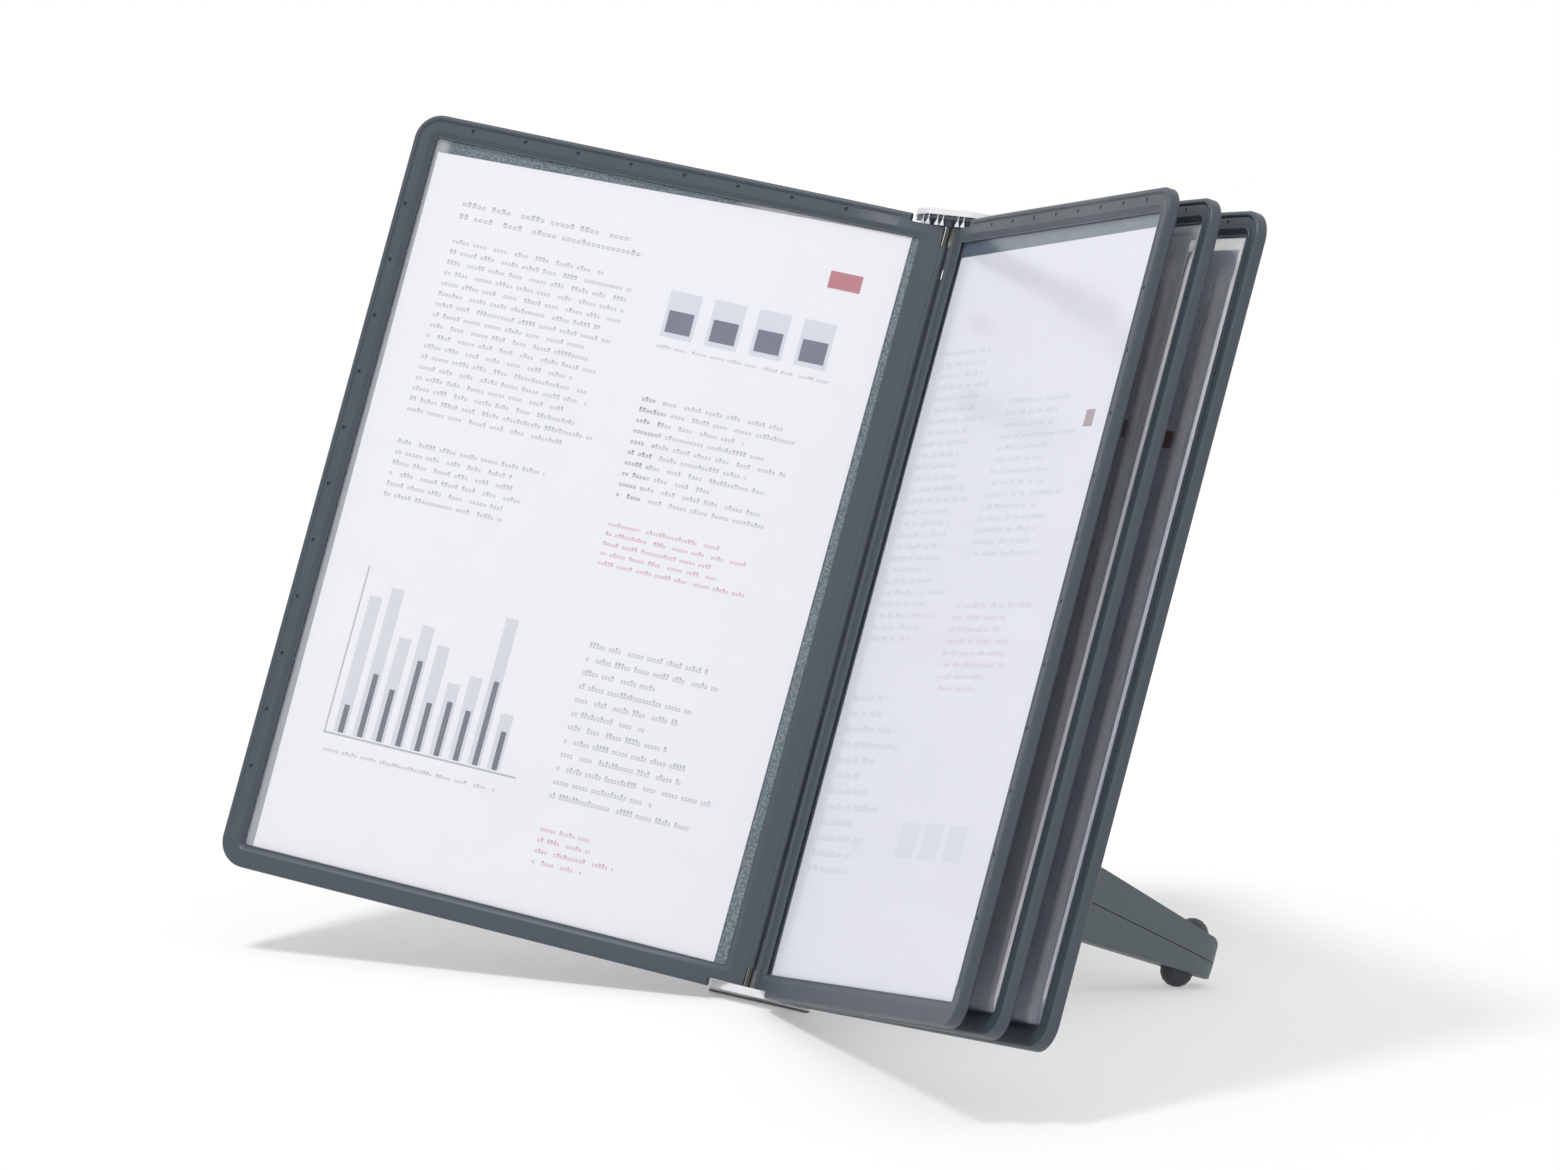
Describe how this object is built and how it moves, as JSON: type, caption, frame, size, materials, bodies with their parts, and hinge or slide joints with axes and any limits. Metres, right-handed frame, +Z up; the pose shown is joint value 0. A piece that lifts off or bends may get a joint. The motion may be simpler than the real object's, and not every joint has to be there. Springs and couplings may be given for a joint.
{
  "type": "desktop reference display stand",
  "caption": "Leaning desk stand whose framed document pockets turn like book pages on upright pins between two brackets, with folding rear legs.",
  "frame": {"origin": "centre of the bottom face of the rubber strip under the bottom bracket, on the desk", "axes": "+X to the reader's right, +Y to the back where the legs stand, +Z up; the spine leans back towards +Y"},
  "size_m": [0.4487, 0.2553, 0.3321],
  "materials": {
    "frame_plastic": "fine satin moulding, dark slate grey",
    "leg_plastic": "satin moulding, grey green",
    "bracket_plastic": "satin moulding, light grey",
    "clear_film": "clear pocket film",
    "paper": "uncoated paper",
    "rubber": "smooth dark rubber",
    "steel": "plain drawn steel"
  },
  "bodies": {
    "stand": {"spine_column": "steel", "bottom_bracket": "bracket_plastic", "top_bracket": "bracket_plastic", "top_socket_strip": "frame_plastic", "leg_hub": "leg_plastic", "base_pad": "rubber", "lower_bracket_screw": "steel", "upper_bracket_screw": "steel", "lower_hub_screw": "steel", "upper_hub_screw": "steel", "left_leg_pin": "steel", "left_leg_pin_clip": "steel", "right_leg_pin": "steel", "right_leg_pin_clip": "steel"},
    "left_leg": {"left_leg_upper_shell": "leg_plastic", "left_leg_lower_shell": "leg_plastic", "left_leg_foot": "rubber"},
    "right_leg": {"right_leg_upper_shell": "leg_plastic", "right_leg_lower_shell": "leg_plastic", "right_leg_foot": "rubber"},
    "panel_1": {"panel_1_frame": "frame_plastic", "panel_1_front_film": "clear_film", "panel_1_back_film": "clear_film", "panel_1_sheet": "paper", "panel_1_lower_pin": "steel", "panel_1_upper_pin": "steel"},
    "panel_2": {"panel_2_frame": "frame_plastic", "panel_2_front_film": "clear_film", "panel_2_back_film": "clear_film", "panel_2_sheet": "paper", "panel_2_lower_pin": "steel", "panel_2_upper_pin": "steel"},
    "panel_3": {"panel_3_frame": "frame_plastic", "panel_3_front_film": "clear_film", "panel_3_back_film": "clear_film", "panel_3_sheet": "paper", "panel_3_lower_pin": "steel", "panel_3_upper_pin": "steel"},
    "panel_4": {"panel_4_frame": "frame_plastic", "panel_4_front_film": "clear_film", "panel_4_back_film": "clear_film", "panel_4_sheet": "paper", "panel_4_lower_pin": "steel", "panel_4_upper_pin": "steel"}
  },
  "joints": [
    {"name": "panel_1_hinge", "type": "hinge", "parent": "stand", "child": "panel_1", "pos_m": [-0.00275, 0.05015, 0.15044], "axis": [0, -0.3502, -0.9367], "range_deg": [0, 14]},
    {"name": "panel_2_hinge", "type": "hinge", "parent": "stand", "child": "panel_2", "pos_m": [0.00275, 0.05015, 0.15044], "axis": [0, -0.3502, -0.9367], "range_deg": [0, 122.5]},
    {"name": "panel_3_hinge", "type": "hinge", "parent": "stand", "child": "panel_3", "pos_m": [0.00821, 0.05075, 0.15021], "axis": [0, -0.3502, -0.9367], "range_deg": [0, 116.38]},
    {"name": "panel_4_hinge", "type": "hinge", "parent": "stand", "child": "panel_4", "pos_m": [0.01355, 0.05194, 0.14977], "axis": [0, -0.3502, -0.9367], "range_deg": [0, 110.25]},
    {"name": "left_leg_hinge", "type": "hinge", "parent": "stand", "child": "left_leg", "pos_m": [-0.01, 0.04944, 0.07169], "axis": [0, 0.3502, 0.9367], "range_deg": [0, 53]},
    {"name": "right_leg_hinge", "type": "hinge", "parent": "stand", "child": "right_leg", "pos_m": [0.01, 0.04944, 0.07169], "axis": [0, -0.3502, -0.9367], "range_deg": [0, 53]}
  ],
  "couplings": [
    {"joint": "panel_3_hinge", "follows": "panel_2_hinge", "ratio": 0.95},
    {"joint": "panel_4_hinge", "follows": "panel_2_hinge", "ratio": 0.9}
  ]
}
